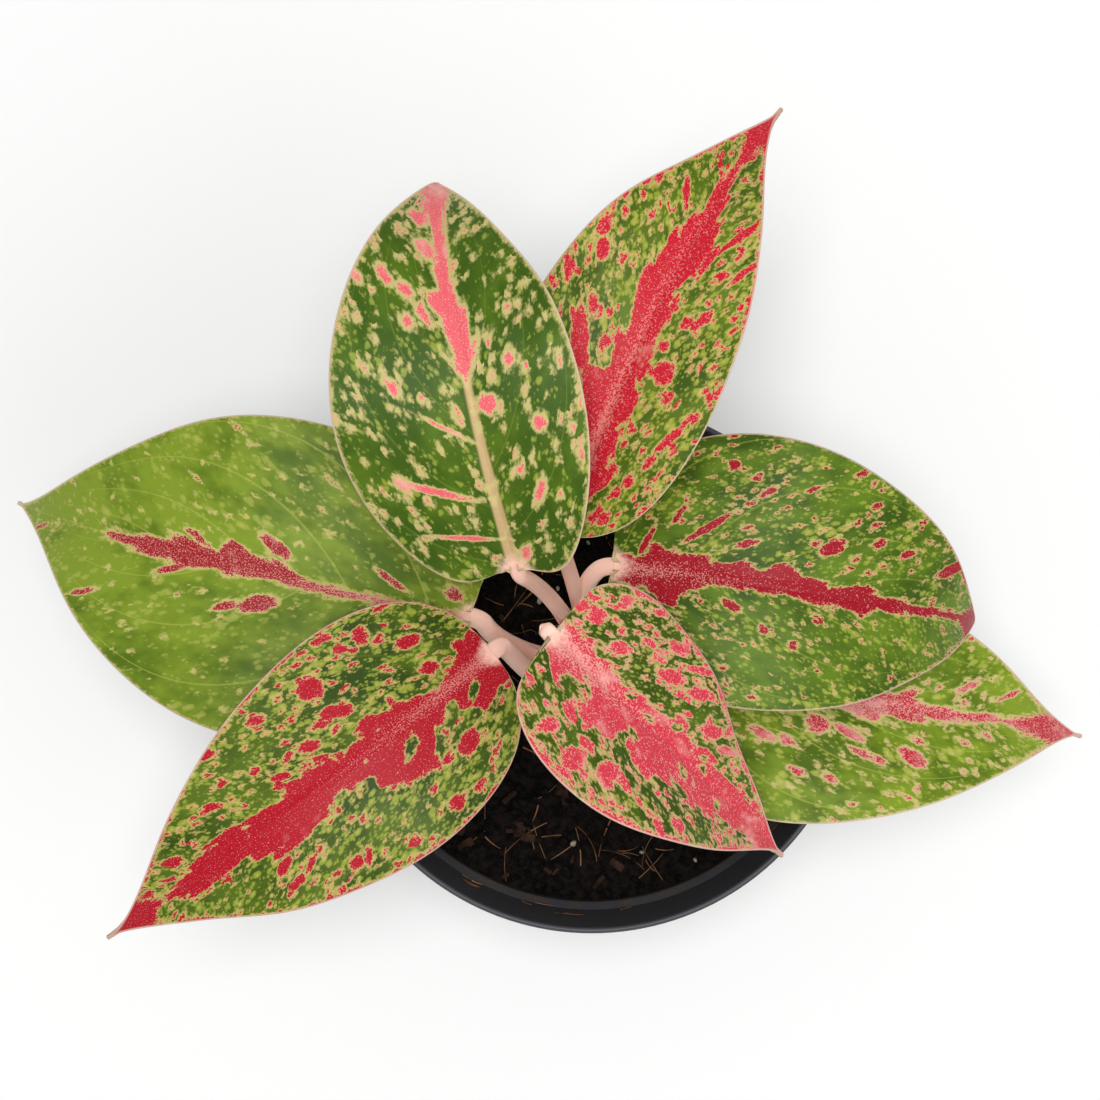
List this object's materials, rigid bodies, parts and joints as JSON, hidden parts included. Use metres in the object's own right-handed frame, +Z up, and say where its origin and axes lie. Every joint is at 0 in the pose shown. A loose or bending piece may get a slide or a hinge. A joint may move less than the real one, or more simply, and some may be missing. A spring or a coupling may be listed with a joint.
{
  "type": "potted fireworks chinese evergreen",
  "caption": "Young chinese evergreen with broad variegated leaves on pale pink petioles, rooted in a round tapered nursery pot filled with potting mix.",
  "frame": {"origin": "centre of the pot's flat underside", "axes": "+Z up along the pot's axis; +Y towards the back of the plant, +X to the right of the plant as seen from its front"},
  "size_m": [0.314, 0.2314, 0.2306],
  "materials": {
    "pot_plastic": "satin charcoal-black moulded plastic, dusty inside the rim",
    "potting_mix": "moist dark peat and bark crumbs with brown coir fibres and a few pale grains",
    "stem": "pale brown-green cane with ring scars",
    "petiole": "smooth satin salmon pink, nearly white at the bend",
    "leaf_pink": "satin leaf, coral and pink with deep green islands edged in cream",
    "leaf_deep_green": "satin deep green leaf with cream and red flecks and a red or tan midrib",
    "leaf_crimson": "satin leaf with a wide crimson flame along the midrib and yellow-green speckle",
    "leaf_olive": "satin olive green leaf, lighter to the edge, with a narrow crimson streak"
  },
  "bodies": {
    "root": {"pot": "pot_plastic", "potting_mix": "potting_mix", "stem": "stem", "petiole_young_front": "petiole", "petiole_back": "petiole", "petiole_back_right": "petiole", "petiole_front_left": "petiole", "petiole_right": "petiole", "petiole_left": "petiole", "petiole_low_right": "petiole", "blade_young_front": "leaf_pink", "blade_back": "leaf_deep_green", "blade_back_right": "leaf_crimson", "blade_front_left": "leaf_crimson", "blade_right": "leaf_deep_green", "blade_left": "leaf_olive", "blade_low_right": "leaf_olive"}
  },
  "joints": []
}
